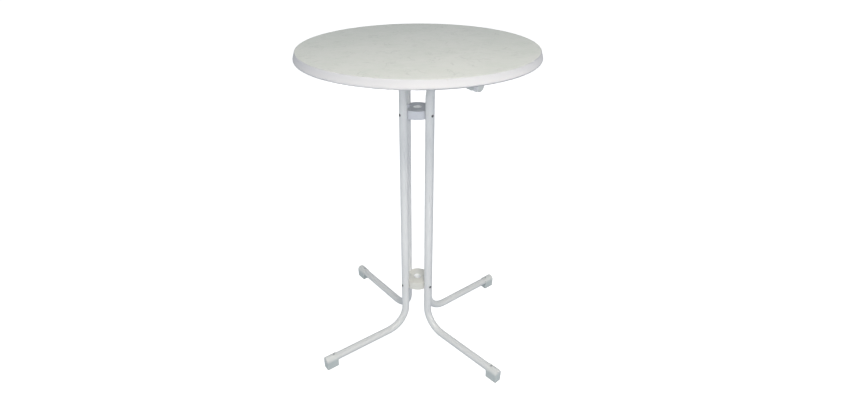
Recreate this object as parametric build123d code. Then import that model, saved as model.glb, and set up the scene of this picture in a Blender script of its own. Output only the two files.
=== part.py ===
import os
from math import asin, cos, degrees, radians, sin

from build123d import *

# Folding standing bar table with a round moulded top on four bent tubes.
# Millimetres, +Z up. The origin is on the floor, on the axis of the upright column.
# Two opposite tubes form the fixed half of the base and carry the top.
# The other two form the swing half, which turns about the column axis to fold the base.

# Overall sizes
top_height = 1100.0
top_diameter = 750.0
leg_reach = 406.0
arm_reach = 256.0

# Directions of the tubes at rest, in degrees about +Z from +X
back_right_azimuth = 37.6
back_left_azimuth = 129.2
front_left_azimuth = 216.0
front_right_azimuth = 313.8
half_turn = 180.0

# Moulded top
panel_thickness = 17.0
rim_depth = 26.5
rim_flare = 6.0
rim_toe = 6.5
rim_land = 9.0
rim_inner_slope = 7.0
face_edge_round = 3.5
rim_bottom_round = 4.0
rim_inner_round = 5.0

# Bent tubes
tube_diameter = 27.0
tube_wall = 1.5
bend_radius = 80.0
column_radius = 55.5
arm_drop = 25.0

# Moulded caps, the same on the legs and, upside down, on the arms
cap_length = 44.0
cap_height = 32.5
cap_wall = 2.0
cap_draft = 1.5
cap_end_round = 3.5
cap_end_wall = 3.0
cap_rib = 2.2
tube_fit = 0.1
tube_end_gap = 0.5

# Screw of each cap, with its raised boss
screw_diameter = 5.0
screw_fit = 0.1
cap_screw_inset = 34.0
screw_head_diameter = 7.2
screw_head_height = 1.6
screw_head_clearance = 0.3
boss_wall = 1.4
boss_rise = 0.8
post_wall = 2.0
cap_screw_bite = 7.0

# Inserts in the panel for the screws that hold the top
insert_wall = 2.0
insert_length = 11.0
insert_depth = 12.0
insert_fit = 0.05

# Hubs: the upper one hangs below the swing arms, the lower one stands above the legs
upper_hub_drop = 134.5
lower_hub_rise = 184.0
hub_thickness = 28.0
hub_radius = 48.0
hub_bore_radius = 13.0
journal_wall = 4.0
hub_ring_radius = 26.0
hub_wall = 3.0
hub_corner_round = 2.0
journal_fit = 0.05
hub_clearance = 0.4
lap_clearance = 0.3
saddle_lip = 1.6
rest_side_angle = 8.0
stop_gap = 1.5
tube_rest_gap = 0.6

# Push-on ring under each hub
ring_thickness = 1.2
ring_width = 5.0
ring_gap = 0.3
journal_foot = 1.0

# Radial screws that hold the tubes to the hubs
hub_screw_diameter = 5.0
hub_screw_bite = 11.0
hub_screw_head_diameter = 9.0
hub_screw_head_height = 1.8
hub_screw_gap = 0.05

# Stop blocks under the top for the arms of the swing half
stop_length = 26.0
stop_overhang = 3.0
stop_wall = 4.0
stop_tongue_width = 12.0
stop_tongue_reach = 43.5
stop_tongue_round = 1.5
stop_clearance = 0.6
stop_rest_gap = 0.3
stop_ear_length = 14.0
stop_ear_thickness = 4.0
stop_rib = 2.4
stop_screw_diameter = 4.0
stop_screw_bite = 12.0
stop_screw_fit = 0.1
stop_screw_head_diameter = 7.6
stop_screw_head_height = 2.2

# Length by which every cut runs past the solid that it cuts
overrun = 5.0

# Sizes that follow from the ones above
top_radius = top_diameter / 2
tube_radius = tube_diameter / 2
underside = top_height - panel_thickness
bore_radius = tube_radius + tube_fit
cap_radius = bore_radius + cap_wall
cap_base_half = cap_radius - cap_draft
screw_radius = screw_diameter / 2
screw_hole_radius = screw_radius + screw_fit
screw_head_radius = screw_head_diameter / 2
head_pocket_radius = screw_head_radius + screw_head_clearance
boss_radius = head_pocket_radius + boss_wall
boss_top = cap_radius + boss_rise
head_seat = boss_top - screw_head_height - screw_head_clearance
post_radius = screw_hole_radius + post_wall
pocket_top = bore_radius + cap_wall

fixed_arm_height = underside - cap_height
swing_arm_height = fixed_arm_height - arm_drop
leg_height = cap_height
upper_hub_height = swing_arm_height - upper_hub_drop
lower_hub_height = leg_height + lower_hub_rise

journal_radius = hub_bore_radius + journal_wall
hub_screw_radius = hub_screw_diameter / 2
arm_screw_reach = arm_reach - cap_screw_inset
leg_screw_reach = leg_reach - cap_screw_inset
column_outside = column_radius + tube_radius
column_inside = column_radius - tube_radius
stop_middle = arm_reach + stop_overhang - stop_length / 2
stop_screw_offset = (stop_length + stop_ear_length) / 2
stop_screw_reaches = (stop_middle - stop_screw_offset, stop_middle + stop_screw_offset)
stop_screw_hole = stop_screw_diameter / 2 + stop_screw_fit
stop_side = cap_radius + stop_clearance + stop_wall
stop_rest = swing_arm_height + cap_height + stop_rest_gap
saddle_half_angle = degrees(asin((tube_radius + saddle_lip) / column_radius))

# Places of the tubes, and each fixed tube with the swing tube that follows it
fixed_places = {"back_right": back_right_azimuth, "front_left": front_left_azimuth}
swing_places = {"back_left": back_left_azimuth, "front_right": front_right_azimuth}
lobe_pairs = list(zip(fixed_places.values(), swing_places.values()))


# Small helpers


def turned(shape, azimuth):
    """Turn a shape from the +X direction to an azimuth about the column axis."""
    return Rot(0, 0, azimuth) * shape


def upright_cylinder(radius, low, high, x=0, y=0):
    """Cylinder along Z between two heights."""
    disc = Pos(x, y, low) * Circle(radius)
    return extrude(disc, amount=high - low, dir=(0, 0, 1))


def radial_cylinder(radius, inner, outer, height):
    """Cylinder along X between two distances from the column axis."""
    disc = Plane.YZ.offset(inner) * Pos(0, height) * Circle(radius)
    return extrude(disc, amount=outer - inner, dir=(1, 0, 0))


def block(x_range, y_range, z_range):
    """Box between two corners."""
    size = [high - low for low, high in (x_range, y_range, z_range)]
    corner = (x_range[0], y_range[0], z_range[0])
    return Pos(*corner) * Box(*size, align=(Align.MIN, Align.MIN, Align.MIN))


def save(shape, name):
    """Write one node."""
    export_step(shape, f"parts/{name}.step")


def save_group(shapes, name):
    """Write several separate solids as one node."""
    export_step(Compound(children=shapes), f"parts/{name}.step")


# Moulded top


def top_profile():
    """Half section of the top: flat face, rim that leans outward, hollow underside."""
    rim_bottom = top_height - rim_depth
    rim_inner = top_radius - rim_land
    points = [
        (0, top_height),
        (top_radius - rim_flare, top_height),
        (top_radius, rim_bottom + rim_toe),
        (top_radius, rim_bottom),
        (rim_inner, rim_bottom),
        (rim_inner - rim_inner_slope, underside),
        (0, underside),
    ]
    outline = make_face(Polyline(*points, close=True))
    rounds = {1: face_edge_round, 3: rim_bottom_round, 4: rim_bottom_round, 5: rim_inner_round}
    for index, radius in rounds.items():
        corner = outline.vertices().sort_by_distance((*points[index], 0))[0]
        outline = fillet(corner, radius)
    return Plane.XZ * outline


def panel_hole(radius, depth, reach, azimuth):
    """Blind hole up into the underside of the panel."""
    return turned(upright_cylinder(radius, underside - overrun, underside + depth, x=reach), azimuth)


def tabletop():
    top = revolve(top_profile(), axis=Axis.Z)
    insert_hole = screw_radius + insert_wall + insert_fit
    for azimuth in fixed_places.values():
        top -= panel_hole(insert_hole, insert_depth, arm_screw_reach, azimuth)
    for azimuth in swing_places.values():
        for reach in stop_screw_reaches:
            top -= panel_hole(stop_screw_hole, stop_screw_bite, reach, azimuth)
    return top


# Bent tubes


def bent_tube(arm_height, carries_top):
    """One-piece tube: arm under the top, upright, and leg along the floor."""
    tube_end = cap_end_wall + tube_end_gap
    corners = [
        (arm_reach - tube_end, arm_height),
        (column_radius, arm_height),
        (column_radius, leg_height),
        (leg_reach - tube_end, leg_height),
    ]
    path = Plane.XZ * FilletPolyline(*corners, radius=bend_radius)
    section = Circle(tube_radius) - Circle(tube_radius - tube_wall)
    tube = sweep(Plane(path @ 0, z_dir=path % 0) * section, path)
    for height in (upper_hub_height, lower_hub_height):
        radius = hub_screw_radius + screw_fit
        tube -= radial_cylinder(radius, column_inside - overrun, column_outside + overrun, height)
    tube -= upright_cylinder(
        screw_hole_radius, leg_height, leg_height + tube_diameter, x=leg_screw_reach
    )
    upper_end = arm_height + (tube_diameter if carries_top else 0)
    tube -= upright_cylinder(
        screw_hole_radius, arm_height - tube_diameter, upper_end, x=arm_screw_reach
    )
    return tube


# Caps, drawn with the tube axis along X through the origin and the outer end at x = 0


def cap_section():
    """Round over the tube, with nearly flat sides down to the base."""
    sides = Polyline(
        (cap_radius, 0), (cap_base_half, -cap_height), (-cap_base_half, -cap_height), (-cap_radius, 0)
    )
    crown = ThreePointArc((-cap_radius, 0), (0, cap_radius), (cap_radius, 0))
    return make_face(sides + crown)


def cap_pockets():
    """Hollows in the base, left by one rib along the cap and one across it."""
    half = cap_base_half - cap_wall
    inner = -cap_length + cap_wall
    outer = -cap_end_wall
    middle = (inner + outer) / 2
    heights = (-cap_height - overrun, -pocket_top)
    hollow = block((inner, outer), (-half, half), heights)
    hollow -= block((middle - cap_rib / 2, middle + cap_rib / 2), (-half, half), heights)
    hollow -= block((inner, outer), (-cap_rib / 2, cap_rib / 2), heights)
    hollow -= upright_cylinder(post_radius, *heights, x=-cap_screw_inset)
    return hollow


def cap():
    """Moulded cap with its screw boss and ribbed base."""
    body = extrude(Plane.YZ * cap_section(), amount=cap_length, dir=(-1, 0, 0))
    end_edges = body.faces().sort_by(Axis.X)[-1].edges().sort_by(Axis.Z)
    body = fillet(end_edges[1:], cap_end_round)
    body += upright_cylinder(boss_radius, 0, boss_top, x=-cap_screw_inset)
    body -= cap_pockets()
    body -= radial_cylinder(bore_radius, -cap_length - overrun, -cap_end_wall, 0)
    low = -cap_height - overrun
    high = boss_top + overrun
    body -= upright_cylinder(screw_hole_radius, low, high, x=-cap_screw_inset)
    body -= upright_cylinder(head_pocket_radius, head_seat, high, x=-cap_screw_inset)
    return body


def cap_screw(depth):
    """Screw from the crown of a cap down to a depth below the tube axis."""
    head_top = head_seat + screw_head_height
    head = upright_cylinder(screw_head_radius, head_seat, head_top, x=-cap_screw_inset)
    return head + upright_cylinder(screw_radius, -depth, head_seat, x=-cap_screw_inset)


def on_foot(shape, azimuth):
    """Put a cap or its screw on the end of a leg."""
    return turned(Pos(leg_reach, 0, leg_height) * shape, azimuth)


def on_arm(shape, arm_height, azimuth):
    """Put a cap or its screw upside down on the end of an arm."""
    return turned(Pos(arm_reach, 0, arm_height) * Rot(half_turn, 0, 0) * shape, azimuth)


# Hubs, drawn around the origin at mid height


def sector(start, end, inner, outer):
    """Ring sector between two azimuths, with rounded outer corners."""
    middle = (start + end) / 2
    rim = [(outer * cos(radians(a)), outer * sin(radians(a))) for a in (start, middle, end)]
    face = make_face(Line((0, 0), rim[0]) + ThreePointArc(*rim) + Line(rim[2], (0, 0)))
    corners = face.vertices().sort_by_distance((0, 0, 0))[-2:]
    face = fillet(corners, hub_corner_round)
    return face - Circle(inner)


def plate(face, low, high):
    """Flat face drawn out between two heights."""
    return extrude(Pos(0, 0, low) * face, amount=high - low, dir=(0, 0, 1))


def ring(inner, outer, low, high):
    """Flat ring between two heights."""
    return plate(Circle(outer) - Circle(inner), low, high)


def saddle_cuts(azimuth):
    """Room for a tube of this hub half and for its radial screw."""
    height = hub_thickness
    cut = upright_cylinder(bore_radius, -height, height, x=column_radius)
    depth = column_inside - hub_screw_bite
    cut += radial_cylinder(hub_screw_radius + screw_fit, depth, column_radius, 0)
    return turned(cut, azimuth)


def fixed_hub():
    """Fixed hub half: upper ring, hollow pivot, and two lobes that fill the front and back."""
    half = hub_thickness / 2
    lap = lap_clearance / 2
    clear_radius = hub_ring_radius + hub_clearance
    foot = half + ring_gap + ring_thickness + journal_foot
    hub = ring(hub_bore_radius, hub_ring_radius, lap, half)
    hub += ring(hub_bore_radius, journal_radius, -foot, lap)
    for azimuth, next_swing in lobe_pairs:
        start = azimuth - saddle_half_angle
        end = next_swing - rest_side_angle - stop_gap
        hub += plate(sector(start, end, hub_ring_radius - hub_wall, hub_radius), lap, half)
        hub += plate(sector(start, end, clear_radius, hub_radius), -half, lap)
        core_start = azimuth + saddle_half_angle
        core_end = next_swing - saddle_half_angle - degrees(hub_wall / hub_radius)
        core = sector(core_start, core_end, clear_radius + hub_wall, hub_radius - hub_wall)
        hub -= plate(core, -half - overrun, half - hub_wall)
        tube_rest = upright_cylinder(
            tube_radius + tube_rest_gap, -hub_thickness, hub_thickness, x=column_radius
        )
        hub -= turned(tube_rest, next_swing)
    for azimuth in fixed_places.values():
        hub -= saddle_cuts(azimuth)
    return hub


def swing_hub():
    """Swing hub half: lower ring that turns on the hollow pivot, and two saddle blocks."""
    half = hub_thickness / 2
    lap = lap_clearance / 2
    hub = ring(journal_radius + journal_fit, hub_ring_radius, -half, -lap)
    for azimuth in swing_places.values():
        start = azimuth - rest_side_angle
        end = azimuth + saddle_half_angle
        hub += plate(sector(start, end, hub_ring_radius - hub_wall, hub_radius), -half, -lap)
        hub += plate(sector(start, end, hub_ring_radius + hub_clearance, hub_radius), -lap, half)
    for azimuth in swing_places.values():
        hub -= saddle_cuts(azimuth)
    return hub


def hub_ring():
    """Push-on ring on the foot of the hollow pivot."""
    top = -hub_thickness / 2 - ring_gap
    return ring(journal_radius + journal_fit, journal_radius + ring_width, top - ring_thickness, top)


def hub_screw(height, azimuth):
    """Radial screw through an upright into its hub half."""
    seat = column_outside + hub_screw_gap
    tip = column_inside - hub_screw_bite + hub_screw_gap
    screw = radial_cylinder(hub_screw_radius, tip, seat, height)
    head_radius = hub_screw_head_diameter / 2
    screw += radial_cylinder(head_radius, seat, seat + hub_screw_head_height, height)
    return turned(screw, azimuth)


# Stop blocks under the top


def stop_block():
    """Moulded block that an arm swings in under, with a tongue down the cap's closed side."""
    start = stop_middle - stop_length / 2
    end = stop_middle + stop_length / 2
    body = block((start, end), (-stop_side, stop_side), (stop_rest, underside))
    tongue_foot = stop_rest - stop_tongue_reach
    tongue_sides = (-stop_side, stop_wall - stop_side)
    body += block((end - stop_tongue_width, end), tongue_sides, (tongue_foot, stop_rest))
    foot_edges = body.edges().filter_by(Axis.Y).group_by(Axis.Z)[0]
    body = fillet(foot_edges, stop_tongue_round)
    ears = (start - stop_ear_length, end + stop_ear_length)
    body += block(ears, (-stop_side, stop_side), (underside - stop_ear_thickness, underside))
    hollow_ends = (start + stop_wall, end - stop_wall)
    hollow_sides = (stop_wall - stop_side, stop_side - stop_wall)
    heights = (stop_rest + stop_wall, underside + overrun)
    hollow = block(hollow_ends, hollow_sides, heights)
    rib = (stop_middle - stop_rib / 2, stop_middle + stop_rib / 2)
    hollow -= block(rib, hollow_sides, heights)
    body -= hollow
    for reach in stop_screw_reaches:
        body -= upright_cylinder(stop_screw_hole, underside - overrun, underside + overrun, x=reach)
    return body


def stop_screw(reach, azimuth):
    """Screw up through an ear of a stop block into the panel."""
    seat = underside - stop_ear_thickness
    tip = underside + stop_screw_bite - stop_screw_fit
    screw = upright_cylinder(stop_screw_diameter / 2, seat, tip, x=reach)
    head_radius = stop_screw_head_diameter / 2
    screw += upright_cylinder(head_radius, seat - stop_screw_head_height, seat, x=reach)
    return turned(screw, azimuth)


# Screws and inserts that hold the top on the fixed arms


def top_insert(azimuth):
    """Threaded insert in the panel, above a fixed arm's screw."""
    inner = screw_radius + insert_fit
    outer = screw_radius + insert_wall
    insert = ring(inner, outer, underside, underside + insert_length)
    return turned(Pos(arm_screw_reach, 0, 0) * insert, azimuth)


def top_screw(azimuth):
    """Long screw through a fixed arm and its cap into the insert."""
    screw = cap_screw(cap_height + insert_length)
    return on_arm(screw, fixed_arm_height, azimuth)


os.makedirs("parts", exist_ok=True)

save(tabletop(), "tabletop")

fixed_tube = bent_tube(fixed_arm_height, carries_top=True)
swing_tube = bent_tube(swing_arm_height, carries_top=False)
moulded_cap = cap()
moulded_stop = stop_block()
for place, azimuth in fixed_places.items():
    save(turned(fixed_tube, azimuth), f"fixed_tube_{place}")
    save(on_foot(moulded_cap, azimuth), f"foot_cap_{place}")
    save(on_arm(moulded_cap, fixed_arm_height, azimuth), f"arm_cap_{place}")
for place, azimuth in swing_places.items():
    save(turned(swing_tube, azimuth), f"swing_tube_{place}")
    save(on_foot(moulded_cap, azimuth), f"foot_cap_{place}")
    save(on_arm(moulded_cap, swing_arm_height, azimuth), f"arm_cap_{place}")
    save(turned(moulded_stop, azimuth), f"stop_block_{place}")

hub_heights = {"upper": upper_hub_height, "lower": lower_hub_height}
for level, height in hub_heights.items():
    save(Pos(0, 0, height) * fixed_hub(), f"{level}_hub_fixed")
    save(Pos(0, 0, height) * swing_hub(), f"{level}_hub_swing")
    save(Pos(0, 0, height) * hub_ring(), f"{level}_hub_ring")

for half, places in (("fixed", fixed_places), ("swing", swing_places)):
    screws = [hub_screw(h, a) for h in hub_heights.values() for a in places.values()]
    save_group(screws, f"hub_screws_{half}")

# Screws that only pin a cap to its tube
short_depth = cap_screw_bite - tube_radius
short_screw = cap_screw(short_depth)
foot_screws = [on_foot(short_screw, a) for a in fixed_places.values()]
save_group(foot_screws, "cap_screws_fixed")
foot_screws = [on_foot(short_screw, a) for a in swing_places.values()]
arm_screws = [on_arm(short_screw, swing_arm_height, a) for a in swing_places.values()]
save_group(foot_screws + arm_screws, "cap_screws_swing")

stop_screw_places = [(reach, a) for a in swing_places.values() for reach in stop_screw_reaches]
save_group([stop_screw(*place) for place in stop_screw_places], "stop_block_screws")
save_group([top_screw(a) for a in fixed_places.values()], "top_screws")
save_group([top_insert(a) for a in fixed_places.values()], "top_inserts")
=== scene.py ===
import math

import bpy
from mathutils import Matrix, Vector


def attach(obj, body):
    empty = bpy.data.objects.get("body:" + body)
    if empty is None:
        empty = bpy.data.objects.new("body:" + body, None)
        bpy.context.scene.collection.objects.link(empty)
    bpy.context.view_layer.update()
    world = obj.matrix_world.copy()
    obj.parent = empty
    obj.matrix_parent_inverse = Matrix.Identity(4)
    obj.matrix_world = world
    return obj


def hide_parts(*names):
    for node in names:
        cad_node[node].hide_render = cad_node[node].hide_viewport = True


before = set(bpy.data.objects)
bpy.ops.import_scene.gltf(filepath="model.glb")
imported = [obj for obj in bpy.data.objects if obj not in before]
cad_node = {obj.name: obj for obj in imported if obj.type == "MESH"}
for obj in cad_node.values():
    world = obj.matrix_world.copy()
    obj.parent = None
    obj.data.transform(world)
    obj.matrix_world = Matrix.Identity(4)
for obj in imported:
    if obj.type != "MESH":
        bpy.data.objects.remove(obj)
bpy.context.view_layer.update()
bpy.ops.object.select_all(action="DESELECT")


# Table top: one round board of wood fibre and resin, pressed hot in a mould together with its
# off-white marbled face, which wraps over the down-turned rim. The underside is plain backing.
# Two long screws hold it on the fixed arms from below.

face_light = (0.694, 0.700, 0.652)
face_dark = (0.642, 0.660, 0.604)
face_bloom = (0.712, 0.700, 0.665)
face_vein = (0.520, 0.530, 0.490)
vein_width = 0.016
face_roughness = (0.34, 0.44)
face_grain_depth = 0.00006
face_edge_radius = 0.3673
face_edge_blend = 0.0011
rim_painted_shade = (0.540, 0.532, 0.540)
rim_corner_painted_shade = (0.512, 0.508, 0.520)
corner_shade_heights = (1.0850, 1.0965)
rim_roughness = 0.62
rubbed_edge = (0.420, 0.400, 0.350)
rubbed_from_radius = 0.3655
rubbed_heights = (1.090, 1.096)
backing_tone = (0.520, 0.505, 0.470)
backing_fleck = (0.440, 0.415, 0.370)
backing_radius = 0.3615
backing_blend = 0.001
backing_height = 1.0835
backing_step = 0.0003
usual_span = (0.3, 0.7)
full_span = (0.0, 1.0)


def new_finish(name):
    """A material, its surface shader, and the place on the object that its patterns read."""
    finish = bpy.data.materials.new(name)
    finish.use_nodes = True
    surface = finish.node_tree.nodes["Principled BSDF"]
    place = finish.node_tree.nodes.new("ShaderNodeTexCoord").outputs["Object"]
    return finish, surface, place


def wire(value, socket):
    """Joins an output to a socket, or sets the socket to a plain number or colour."""
    if isinstance(value, bpy.types.NodeSocket):
        socket.id_data.links.new(value, socket)
    elif isinstance(value, tuple):
        socket.default_value = (*value, 1)
    else:
        socket.default_value = value


def clouds(place, lumps_per_metre, detail=3.0, rough=0.55, swirl=0.0):
    """Soft random pattern."""
    noise = place.id_data.nodes.new("ShaderNodeTexNoise")
    wire(place, noise.inputs["Vector"])
    wire(lumps_per_metre, noise.inputs["Scale"])
    wire(detail, noise.inputs["Detail"])
    wire(rough, noise.inputs["Roughness"])
    wire(swirl, noise.inputs["Distortion"])
    return noise.outputs["Fac"]


def spread(value, ends, new_ends=full_span):
    """Stretches one span of a pattern to new ends, and holds it there beyond them."""
    fit = value.id_data.nodes.new("ShaderNodeMapRange")
    wire(value, fit.inputs["Value"])
    wire(ends[0], fit.inputs["From Min"])
    wire(ends[1], fit.inputs["From Max"])
    wire(new_ends[0], fit.inputs["To Min"])
    wire(new_ends[1], fit.inputs["To Max"])
    return fit.outputs["Result"]


def times(first, second):
    """Two patterns multiplied, so that only where both are strong does the result show."""
    product = first.id_data.nodes.new("ShaderNodeMath")
    product.operation = "MULTIPLY"
    wire(first, product.inputs[0])
    wire(second, product.inputs[1])
    return product.outputs["Value"]


def two_tone(share, first, second):
    """Colour that runs from the first tone to the second as the share rises."""
    mix = share.id_data.nodes.new("ShaderNodeMix")
    mix.data_type = "RGBA"
    wire(share, mix.inputs["Factor"])
    wire(first, mix.inputs["A"])
    wire(second, mix.inputs["B"])
    return mix.outputs["Result"]


def hairlines(pattern, width):
    """Thin lines that follow the middle level of a soft pattern."""
    away = pattern.id_data.nodes.new("ShaderNodeMath")
    away.operation = "SUBTRACT"
    wire(pattern, away.inputs[0])
    wire(0.5, away.inputs[1])
    either_way = pattern.id_data.nodes.new("ShaderNodeMath")
    either_way.operation = "ABSOLUTE"
    wire(away.outputs["Value"], either_way.inputs[0])
    return spread(either_way.outputs["Value"], (width, 0.0))


def dimpled(surface, height, strength, depth):
    """Bump of that depth in metres from a pattern of heights."""
    bump = surface.id_data.nodes.new("ShaderNodeBump")
    wire(strength, bump.inputs["Strength"])
    wire(depth, bump.inputs["Distance"])
    wire(height, bump.inputs["Height"])
    wire(bump.outputs["Normal"], surface.inputs["Normal"])


def radius_and_height(place):
    """Distance from the column axis, and height above the floor."""
    parts = place.id_data.nodes.new("ShaderNodeSeparateXYZ")
    wire(place, parts.inputs["Vector"])
    flat = place.id_data.nodes.new("ShaderNodeCombineXYZ")
    wire(parts.outputs["X"], flat.inputs["X"])
    wire(parts.outputs["Y"], flat.inputs["Y"])
    length = place.id_data.nodes.new("ShaderNodeVectorMath")
    length.operation = "LENGTH"
    wire(flat.outputs["Vector"], length.inputs[0])
    return length.outputs["Value"], parts.outputs["Z"]


def coat(names, finish):
    """Gives CAD nodes their finish."""
    for name in names:
        for slot in cad_node[name].material_slots:
            slot.material = finish


marbled_face, surface, place = new_finish("marbled_moulded_face")
radius, height = radius_and_height(place)
big_clouds = spread(clouds(place, 7, detail=4.0, rough=0.6, swirl=0.6), (0.36, 0.64))
blooms = clouds(place, 26, detail=5.0, rough=0.62, swirl=1.6)
blooms = spread(blooms, (0.44, 0.60), (0.0, 0.45))
tone = two_tone(big_clouds, face_dark, face_light)
tone = two_tone(blooms, tone, face_bloom)
veins = hairlines(clouds(place, 15, detail=6.0, rough=0.62, swirl=1.1), vein_width)
broken = spread(clouds(place, 24, detail=2.0, rough=0.5), (0.47, 0.60), (0.0, 0.9))
tone = two_tone(times(veins, broken), tone, face_vein)
on_rim = spread(radius, (face_edge_radius - face_edge_blend, face_edge_radius + face_edge_blend))
# Painted shade: the rim band takes a darker tone than the face, against the strong light on it,
# and darker still towards its rounded top corner, against the highlight there.
corner_shade = spread(height, corner_shade_heights)
tone = two_tone(on_rim, tone, two_tone(corner_shade, rim_painted_shade, rim_corner_painted_shade))
near_edge = spread(radius, (rubbed_from_radius, face_edge_radius))
high_up = spread(height, rubbed_heights)
marks = spread(clouds(place, 70, rough=0.7), (0.66, 0.72), (0.0, 0.5))
rubbed = times(times(near_edge, high_up), marks)
tone = two_tone(rubbed, tone, rubbed_edge)
flecks = spread(clouds(place, 160, detail=4.0, rough=0.7), (0.48, 0.66))
backing = two_tone(flecks, backing_tone, backing_fleck)
inside_rim = spread(radius, (backing_radius, backing_radius - backing_blend))
low_down = spread(height, (backing_height, backing_height - backing_step))
tone = two_tone(times(inside_rim, low_down), tone, backing)
wire(tone, surface.inputs["Base Color"])
sheen = spread(clouds(place, 45), usual_span, face_roughness)
sheen = spread(on_rim, full_span, (sheen, rim_roughness))
wire(sheen, surface.inputs["Roughness"])
dimpled(surface, clouds(place, 620, detail=2.0), 0.25, face_grain_depth)
coat(["tabletop"], marbled_face)


# Bent tubes: four steel tubes of 27 mm, each bent once under the top and once above the floor.
# They are coated with white powder that is melted on in an oven, which leaves a fine orange peel.

powder_tone = (0.700, 0.700, 0.700)
powder_shade = (0.675, 0.677, 0.680)
powder_low_shade = (0.630, 0.633, 0.627)
low_shade_heights = (0.110, 0.050)
uneven_low_shade = (1.0, 0.8)
powder_roughness = (0.29, 0.36)
peel_depth = 0.00008

white_powder, surface, place = new_finish("white_powder_coat")
uneven = spread(clouds(place, 14), (0.35, 0.65))
tone = two_tone(uneven, powder_shade, powder_tone)
# Painted shade: the tubes turn a little greyer in their lowest tenth of a metre, over the legs,
# unevenly.
height = radius_and_height(place)[1]
low_shade = times(spread(height, low_shade_heights), spread(uneven, full_span, uneven_low_shade))
tone = two_tone(low_shade, tone, powder_low_shade)
wire(tone, surface.inputs["Base Color"])
gloss = spread(clouds(place, 90, detail=2.0), usual_span, powder_roughness)
wire(gloss, surface.inputs["Roughness"])
dimpled(surface, clouds(place, 780, detail=1.5, rough=0.45), 0.35, peel_depth)
coat([name for name in cad_node if "_tube_" in name], white_powder)


# Foot and arm caps: injection-moulded in off-white plastic with a fine satin texture, pushed
# over the tube ends. One screw down through the crown pins each of them.

cap_tone = (0.650, 0.656, 0.640)
cap_shade = (0.615, 0.622, 0.608)
cap_painted_side_shade = (0.540, 0.574, 0.564)
cap_painted_side_shade_dark = (0.510, 0.546, 0.537)
side_shade_heights = (0.041, 0.029)
floor_scuff = (0.430, 0.430, 0.415)
scuffed_heights = (0.0055, 0.0005)
cap_roughness = (0.42, 0.54)
cap_texture_depth = 0.00005

cap_plastic, surface, place = new_finish("satin_cap_plastic")
flow = spread(clouds(place, 38, rough=0.5, swirl=0.8), (0.35, 0.65))
tone = two_tone(flow, cap_shade, cap_tone)
height = radius_and_height(place)[1]
# Painted shade: below the crown, the foot caps' lower sides take a darker, greener tone, standing
# in for the shade on them.
side_shade = two_tone(flow, cap_painted_side_shade_dark, cap_painted_side_shade)
tone = two_tone(spread(height, side_shade_heights), tone, side_shade)
near_floor = spread(height, scuffed_heights, (0.0, 0.8))
scuffs = spread(clouds(place, 210, detail=4.0, rough=0.65), (0.42, 0.60))
tone = two_tone(times(near_floor, scuffs), tone, floor_scuff)
wire(tone, surface.inputs["Base Color"])
satin = spread(clouds(place, 300, detail=2.0), usual_span, cap_roughness)
wire(satin, surface.inputs["Roughness"])
dimpled(surface, clouds(place, 1500, detail=2.0), 0.35, cap_texture_depth)
coat([name for name in cad_node if "_cap_" in name], cap_plastic)


# Hubs: two moulded hubs, each in a fixed and a swing half that turn on a hollow pivot. They
# grip the four uprights in half-round saddles, and a push-on steel ring holds each together.

hub_tone = (0.688, 0.677, 0.625)
hub_shade = (0.645, 0.636, 0.590)
upper_hub_painted_shade = (0.612, 0.618, 0.656)
upper_hub_painted_shade_dark = (0.585, 0.592, 0.634)
hub_shade_heights = (0.55, 0.56)
bore_painted_light = (0.930, 0.930, 0.925)
pivot_bore = 0.0131
pivot_bore_blend = 0.0002
hub_roughness = (0.38, 0.50)
hub_texture_depth = 0.00005
zinc_bright = (0.62, 0.62, 0.63)
zinc_dull = (0.50, 0.51, 0.53)
zinc_roughness = (0.30, 0.42)
crystal_depth = 0.00003

hub_plastic, surface, place = new_finish("satin_hub_plastic")
flow = spread(clouds(place, 30, rough=0.5, swirl=1.0), (0.35, 0.65))
radius, height = radius_and_height(place)
lower_hub = two_tone(flow, hub_shade, hub_tone)
upper_hub = two_tone(flow, upper_hub_painted_shade_dark, upper_hub_painted_shade)
# Painted shade: the upper hub takes a darker, bluer tone than the lower one, standing in for the
# bluish shade under the top.
tone = two_tone(spread(height, hub_shade_heights), lower_hub, upper_hub)
# Painted light: the walls of the pivot bore are near white, standing in for the light that falls
# into the bore.
in_bore = spread(radius, (pivot_bore + pivot_bore_blend, pivot_bore))
wire(two_tone(in_bore, tone, bore_painted_light), surface.inputs["Base Color"])
satin = spread(clouds(place, 260, detail=2.0), usual_span, hub_roughness)
wire(satin, surface.inputs["Roughness"])
dimpled(surface, clouds(place, 1300, detail=2.0), 0.3, hub_texture_depth)
coat([name for name in cad_node if "_hub_fixed" in name or "_hub_swing" in name], hub_plastic)

bright_zinc, surface, place = new_finish("bright_zinc_plate")
crystals = spread(clouds(place, 420, detail=2.0, rough=0.6), (0.35, 0.65))
wire(two_tone(crystals, zinc_dull, zinc_bright), surface.inputs["Base Color"])
surface.inputs["Metallic"].default_value = 1.0
wire(spread(crystals, full_span, zinc_roughness), surface.inputs["Roughness"])
dimpled(surface, clouds(place, 2600, detail=2.0), 0.2, crystal_depth)
coat(["upper_hub_ring", "lower_hub_ring"], bright_zinc)


# Hub screws: darkened steel screws with a low domed head and a cross recess. One goes in
# through the outside of each upright at each hub, and pulls the tube into its saddle.

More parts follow.
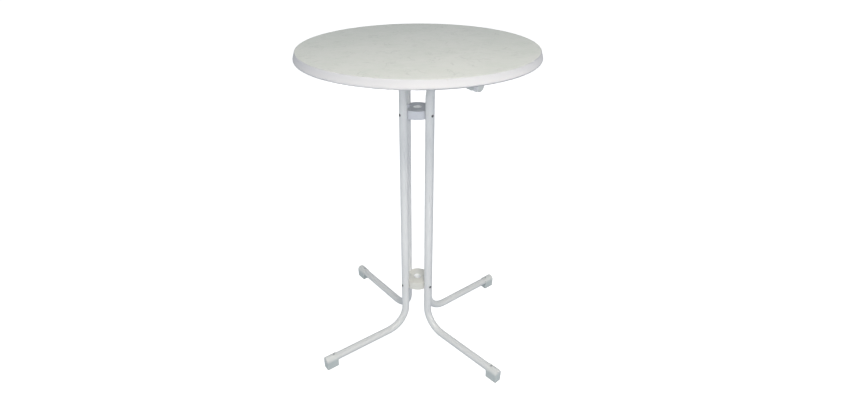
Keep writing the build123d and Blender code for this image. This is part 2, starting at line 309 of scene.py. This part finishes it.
dark_steel_tone = (0.090, 0.090, 0.098)
worn_steel_tone = (0.150, 0.149, 0.156)
dark_steel_roughness = (0.34, 0.50)
dark_steel_depth = 0.00003
hub_screw_seat = 0.06905
hub_heights = (0.8910, 0.2165)
fixed_azimuths = (37.6, 216.0)
swing_azimuths = (129.2, 313.8)
head_edge_share = 0.45
dome_shares = ((0.16, 0.28), (0.20, 0.16), (0.22, 0.08), (0.20, 0.03))
tip_share = 0.35
slot_width_share = 0.26
slot_height_share = 1.1
slot_middle_share = 0.95
slot_floor_share = 0.4
slot_floor_length_share = 0.45
slot_floor_width_share = 0.6
smooth_below_degrees = 40


def pick(mesh_object, wanted):
    """Selects the faces that the test wants, and nothing else."""
    bpy.ops.object.mode_set(mode="EDIT")
    bpy.ops.mesh.select_mode(type="FACE")
    bpy.ops.mesh.select_all(action="DESELECT")
    bpy.ops.object.mode_set(mode="OBJECT")
    for face in mesh_object.data.polygons:
        face.select = wanted(face)
    bpy.ops.object.mode_set(mode="EDIT")


def faces_up(face):
    return face.normal.z > 0.9


def faces_down(face):
    return face.normal.z < -0.9


def cut_slot(screw, rise, recess, turn):
    """Cuts one tapered slot of the cross recess into a screw's head."""
    bpy.ops.mesh.primitive_cube_add(
        size=1,
        scale=(recess, recess * slot_width_share, rise * slot_height_share),
        location=(0, 0, rise * slot_middle_share),
    )
    slot_tool = bpy.context.object
    pick(slot_tool, faces_down)
    bpy.ops.transform.resize(
        value=(slot_floor_length_share, slot_floor_width_share, 1),
        center_override=(0, 0, rise * slot_floor_share),
    )
    bpy.ops.object.mode_set(mode="OBJECT")
    slot_tool.rotation_euler.z = turn
    bpy.ops.object.transform_apply(location=True, rotation=True, scale=True)
    cut = screw.modifiers.new("recess", "BOOLEAN")
    cut.object = slot_tool
    cut.operation = "DIFFERENCE"
    bpy.context.view_layer.objects.active = screw
    bpy.ops.object.modifier_apply(modifier=cut.name)
    bpy.data.objects.remove(slot_tool, do_unlink=True)


def domed_screw(name, shank, head, rise, length, recess):
    """A screw with its seat at the origin, its head up and its shank down."""
    edge = rise * head_edge_share
    bpy.ops.mesh.primitive_cylinder_add(
        vertices=40, radius=head, depth=edge, location=(0, 0, edge / 2)
    )
    screw = bpy.context.object
    screw.name = name
    pick(screw, faces_up)
    for inward, up in dome_shares:
        bpy.ops.mesh.inset(thickness=head * inward)
        bpy.ops.transform.translate(value=(0, 0, rise * up))
    pick(screw, faces_down)
    bpy.ops.mesh.inset(thickness=head - shank)
    bpy.ops.mesh.extrude_region_move(TRANSFORM_OT_translate={"value": (0, 0, shank - length)})
    bpy.ops.mesh.extrude_region_move(TRANSFORM_OT_translate={"value": (0, 0, -shank)})
    bpy.ops.transform.resize(value=(tip_share, tip_share, 1), center_override=(0, 0, -length))
    bpy.ops.object.mode_set(mode="OBJECT")
    for turn in (0, math.pi / 2):
        cut_slot(screw, rise, recess, turn)
    bpy.ops.object.select_all(action="DESELECT")
    screw.select_set(True)
    bpy.ops.object.shade_smooth_by_angle(angle=math.radians(smooth_below_degrees))
    return screw


def set_in(pattern, places, body, node, finish):
    """Copies a screw to its places, as one piece that stands for a CAD node."""
    copies = []
    for where in places:
        copy = pattern.copy()
        copy.data = pattern.data.copy()
        bpy.context.scene.collection.objects.link(copy)
        copy.matrix_world = where
        copies.append(copy)
    bpy.ops.object.select_all(action="DESELECT")
    for copy in copies:
        copy.select_set(True)
    bpy.context.view_layer.objects.active = copies[0]
    bpy.ops.object.transform_apply(location=True, rotation=True, scale=True)
    bpy.ops.object.join()
    piece = bpy.context.object
    piece.name = node + "_domed"
    piece.data.materials.clear()
    piece.data.materials.append(finish)
    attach(piece, body)
    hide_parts(node)
    bpy.ops.object.select_all(action="DESELECT")


def sideways(azimuth, reach, height):
    """Place of a screw that points at the column axis, with its head outwards."""
    turn = Matrix.Rotation(math.radians(azimuth), 4, "Z")
    return turn @ Matrix.Translation((reach, 0, height)) @ Matrix.Rotation(math.pi / 2, 4, "Y")


dark_steel, surface, place = new_finish("darkened_screw_steel")
worn = spread(clouds(place, 650), (0.38, 0.62))
wire(two_tone(worn, dark_steel_tone, worn_steel_tone), surface.inputs["Base Color"])
surface.inputs["Metallic"].default_value = 0.85
wire(spread(worn, full_span, dark_steel_roughness), surface.inputs["Roughness"])
dimpled(surface, clouds(place, 3000, detail=2.0), 0.25, dark_steel_depth)

hub_screw = domed_screw(
    "hub_screw", shank=0.0025, head=0.0045, rise=0.0021, length=0.038, recess=0.0050
)
for body, azimuths in (("fixed_half", fixed_azimuths), ("swing_half", swing_azimuths)):
    node = "hub_screws_" + body.split("_")[0]
    places = [sideways(a, hub_screw_seat, h) for h in hub_heights for a in azimuths]
    set_in(hub_screw, places, body, node, dark_steel)
bpy.data.objects.remove(hub_screw, do_unlink=True)


# Cap screws: smaller zinc-plated screws, sunk in the boss on the crown of each foot cap and
# under each arm of the swing half. Long ones go up through the fixed arms into the board,
# where they turn into brass inserts.

cap_seat = 0.0145
foot_screw_reach = 0.372
arm_screw_reach = 0.222
leg_height = 0.0325
swing_arm_height = 1.0255
fixed_arm_height = 1.0505
brass_dull = (0.56, 0.43, 0.20)
brass_bright = (0.66, 0.52, 0.26)
brass_roughness = (0.28, 0.45)


def upright(azimuth, reach, height, head_up):
    """Place of a screw that stands on its tip, or hangs from it."""
    turn = Matrix.Rotation(math.radians(azimuth), 4, "Z")
    flip = Matrix.Identity(4) if head_up else Matrix.Rotation(math.pi, 4, "X")
    return turn @ Matrix.Translation((reach, 0, height)) @ flip


cap_screw = domed_screw(
    "cap_screw", shank=0.0025, head=0.0036, rise=0.0017, length=0.0084, recess=0.0042
)
foot_seat = leg_height + cap_seat
swing_arm_seat = swing_arm_height - cap_seat
fixed_arm_seat = fixed_arm_height - cap_seat
places = [upright(a, foot_screw_reach, foot_seat, True) for a in fixed_azimuths]
set_in(cap_screw, places, "fixed_half", "cap_screws_fixed", bright_zinc)
places = [upright(a, foot_screw_reach, foot_seat, True) for a in swing_azimuths]
places += [upright(a, arm_screw_reach, swing_arm_seat, False) for a in swing_azimuths]
set_in(cap_screw, places, "swing_half", "cap_screws_swing", bright_zinc)
bpy.data.objects.remove(cap_screw, do_unlink=True)

top_screw = domed_screw(
    "top_screw", shank=0.0025, head=0.0036, rise=0.0017, length=0.0584, recess=0.0042
)
places = [upright(a, arm_screw_reach, fixed_arm_seat, False) for a in fixed_azimuths]
set_in(top_screw, places, "fixed_half", "top_screws", bright_zinc)
bpy.data.objects.remove(top_screw, do_unlink=True)

plain_brass, surface, place = new_finish("plain_brass")
tarnish = spread(clouds(place, 500), (0.35, 0.65))
wire(two_tone(tarnish, brass_dull, brass_bright), surface.inputs["Base Color"])
surface.inputs["Metallic"].default_value = 1.0
wire(spread(tarnish, full_span, brass_roughness), surface.inputs["Roughness"])
coat(["top_inserts"], plain_brass)


# Stop blocks: moulded blocks screwed up into the underside of the board. The cap of each swing
# arm slides in under its block and comes to rest against the tongue on the block's closed side.

block_tone = (0.780, 0.774, 0.790)
block_shade = (0.745, 0.742, 0.755)
block_roughness = (0.42, 0.55)
block_texture_depth = 0.00005
block_screw_reaches = (0.226, 0.266)
block_screw_seat = 1.079

stop_plastic, surface, place = new_finish("satin_stop_plastic")
flow = spread(clouds(place, 34, rough=0.5, swirl=0.8), (0.35, 0.65))
# Painted light: the blocks take a lighter, bluer tone than the other mouldings, standing in for
# the bluish light under the top.
wire(two_tone(flow, block_shade, block_tone), surface.inputs["Base Color"])
satin = spread(clouds(place, 280, detail=2.0), usual_span, block_roughness)
wire(satin, surface.inputs["Roughness"])
dimpled(surface, clouds(place, 1400, detail=2.0), 0.3, block_texture_depth)
coat(["stop_block_front_right", "stop_block_back_left"], stop_plastic)

block_screw = domed_screw(
    "stop_block_screw", shank=0.0020, head=0.0038, rise=0.0022, length=0.0159, recess=0.0044
)
places = [
    upright(a, r, block_screw_seat, False) for a in swing_azimuths for r in block_screw_reaches
]
set_in(block_screw, places, "fixed_half", "stop_block_screws", bright_zinc)
bpy.data.objects.remove(block_screw, do_unlink=True)


# Floor: a plain white paper sheet, lit a little from behind. It sends no light back up at the
# table, whose lower sides stay in soft shade.

floor_size = 60
paper_dark = (0.30, 0.30, 0.30)
paper_light = (0.34, 0.34, 0.34)
paper_glow_tone = (1.0, 1.0, 1.0, 1)
paper_glow = 0.99
paper_roughness = 0.9

bpy.ops.mesh.primitive_plane_add(size=floor_size, location=(0, 0, 0))
floor = bpy.context.object
floor.name = "floor"
floor.visible_diffuse = False
floor.visible_glossy = False
paper, surface, place = new_finish("white_floor_paper")
grain = spread(clouds(place, 3, detail=2.0), usual_span)
wire(two_tone(grain, paper_dark, paper_light), surface.inputs["Base Color"])
surface.inputs["Roughness"].default_value = paper_roughness
surface.inputs["Specular IOR Level"].default_value = 0.0
surface.inputs["Emission Color"].default_value = paper_glow_tone
surface.inputs["Emission Strength"].default_value = paper_glow
floor.data.materials.append(paper)


# Light: a dim bluish room that is pale below and behind the table, a warm softbox above and a
# little right of the camera, a low panel behind the camera, one panel on each side, and one
# behind the table. The low panel and the one behind leave no glare on the glossy top.

white = (1.0, 1.0, 1.0)
room_tone = (0.90, 1.00, 1.11)
room_below = 0.50
room_above_front = 0.0
room_above_back = 0.40
front_to_back = (-0.9, 0.4)
below_to_above = (-0.4, 0.6)
warm_tone = (1.0, 0.95, 0.87)
low_panel_tone = (0.960, 0.972, 0.970)
under_top = (0, 0, 0.95)
mid_column = (0, 0, 0.6)

room = bpy.data.worlds.new("white_room")
bpy.context.scene.world = room
room.use_nodes = True
direction = room.node_tree.nodes.new("ShaderNodeTexCoord").outputs["Generated"]
axes = room.node_tree.nodes.new("ShaderNodeSeparateXYZ")
wire(direction, axes.inputs["Vector"])
above = spread(axes.outputs["Y"], front_to_back, (room_above_front, room_above_back))
around = spread(axes.outputs["Z"], below_to_above, (room_below, above))
seen = room.node_tree.nodes.new("ShaderNodeLightPath").outputs["Is Camera Ray"]
backdrop = room.node_tree.nodes["Background"]
wire(two_tone(seen, room_tone, white), backdrop.inputs["Color"])
wire(spread(seen, full_span, (around, 1.0)), backdrop.inputs["Strength"])


def soft_light(name, place, size, power, tone, target):
    """A square soft light that faces a point."""
    light = bpy.data.lights.new(name, "AREA")
    light.size = size
    light.energy = power
    light.color = tone
    stand = bpy.data.objects.new(name, light)
    bpy.context.scene.collection.objects.link(stand)
    stand.location = place
    stand.rotation_euler = (Vector(target) - Vector(place)).to_track_quat("-Z", "Y").to_euler()
    return stand


soft_light("softbox", (0.28, -1.42, 2.52), 0.7, 27.8, warm_tone, under_top)
low_panel = soft_light("low_panel", (0.10, -3.20, 2.00), 1.2, 45.4, low_panel_tone, mid_column)
low_panel.visible_glossy = False
soft_light("left_panel", (-2.60, -1.60, 1.30), 1.5, 25.0, white, mid_column)
soft_light("right_panel", (2.60, -1.60, 1.30), 1.5, 25.8, white, mid_column)
back_panel = soft_light("back_panel", (-0.30, 3.40, 1.10), 1.8, 26.0, white, mid_column)
back_panel.visible_glossy = False


# Camera: at eye height in front of the table, looking down at it by 27 degrees, with the small
# shift that the photo's framing needs.

frame_width = 845
frame_height = 400
focal_pixels = 513.498
middle_x = 410.076
middle_y = 179.108
camera_place = (0, -1.57664, 1.44628)
camera_pan = 0.015994
camera_look_down = 0.470677
camera_roll = -0.007557

camera = bpy.data.cameras.new("photo_camera")
camera.sensor_width = 36.0
camera.lens = focal_pixels / frame_width * camera.sensor_width
camera.shift_x = (frame_width / 2 - middle_x) / frame_width
camera.shift_y = (middle_y - frame_height / 2) / frame_width
camera.clip_end = 200
camera_stand = bpy.data.objects.new("photo_camera", camera)
bpy.context.scene.collection.objects.link(camera_stand)
camera_stand.location = camera_place
pan = Matrix.Rotation(camera_pan, 4, "Z")
tilt = Matrix.Rotation(math.pi / 2 - camera_look_down, 4, "X")
roll = Matrix.Rotation(camera_roll, 4, "Z")
camera_stand.rotation_euler = (pan @ tilt @ roll).to_euler()
bpy.context.scene.camera = camera_stand
bpy.context.scene.view_settings.view_transform = "Standard"
